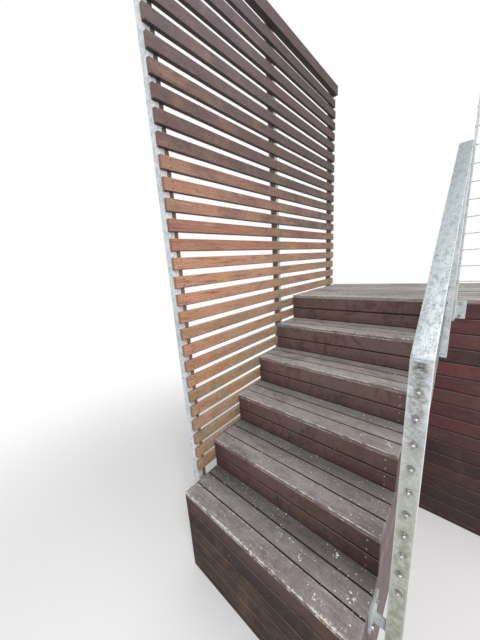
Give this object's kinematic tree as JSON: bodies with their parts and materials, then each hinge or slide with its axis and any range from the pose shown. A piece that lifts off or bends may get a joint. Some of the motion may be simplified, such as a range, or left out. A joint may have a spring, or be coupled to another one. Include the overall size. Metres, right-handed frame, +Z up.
{
  "type": "wooden deck stairs",
  "caption": "Closed timber stair flight up to a house landing, with a slatted privacy screen on one side and a galvanised channel handrail with stretched wires on the other.",
  "frame": {"origin": "on the face of the lowest riser, in the middle of the flight's width, at the level of the lower deck's surface", "axes": "+X to the right across the flight, +Y into the building, +Z up"},
  "size_m": [2.1166, 2.15, 3.266],
  "materials": {
    "walk_boards": "weathered grey-brown hardwood decking",
    "closing_boards": "oiled dark red-brown hardwood",
    "frame_timber": "rough sawn treated timber",
    "screen_timber": "oiled orange-brown hardwood, darker towards the top",
    "galvanised_steel": "hot-dip galvanised, mottled grey",
    "fixings": "stainless wire, nuts and bolts"
  },
  "bodies": {
    "root": {"tread_1": "walk_boards", "tread_2": "walk_boards", "tread_3": "walk_boards", "tread_4": "walk_boards", "tread_5": "walk_boards", "riser_1": "closing_boards", "riser_2": "closing_boards", "riser_3": "closing_boards", "riser_4": "closing_boards", "riser_5": "closing_boards", "riser_6": "closing_boards", "stringer_left": "frame_timber", "stringer_mid": "frame_timber", "stringer_right": "frame_timber", "side_boards": "closing_boards", "side_studs": "frame_timber", "foot_bearer": "frame_timber", "foot_posts": "frame_timber", "base_boards": "closing_boards", "landing_boards": "walk_boards", "landing_joists": "frame_timber", "rim_joist": "frame_timber", "ledger": "frame_timber", "landing_bearer": "frame_timber", "landing_posts": "frame_timber", "skirt_boards": "closing_boards", "skirt_studs": "frame_timber", "screen_post_front": "galvanised_steel", "screen_post_mid": "galvanised_steel", "screen_post_rear": "galvanised_steel", "screen_studs": "screen_timber", "screen_battens": "screen_timber", "screen_top_rail": "screen_timber", "stair_post": "galvanised_steel", "handrail": "galvanised_steel", "upper_post": "galvanised_steel", "stair_wires": "fixings", "deck_end_post": "galvanised_steel", "deck_top_rail": "galvanised_steel", "deck_far_post": "galvanised_steel", "deck_wires": "fixings", "wire_nuts": "fixings", "stair_brackets": "galvanised_steel", "deck_brackets": "galvanised_steel", "bolts": "fixings"}
  },
  "joints": []
}
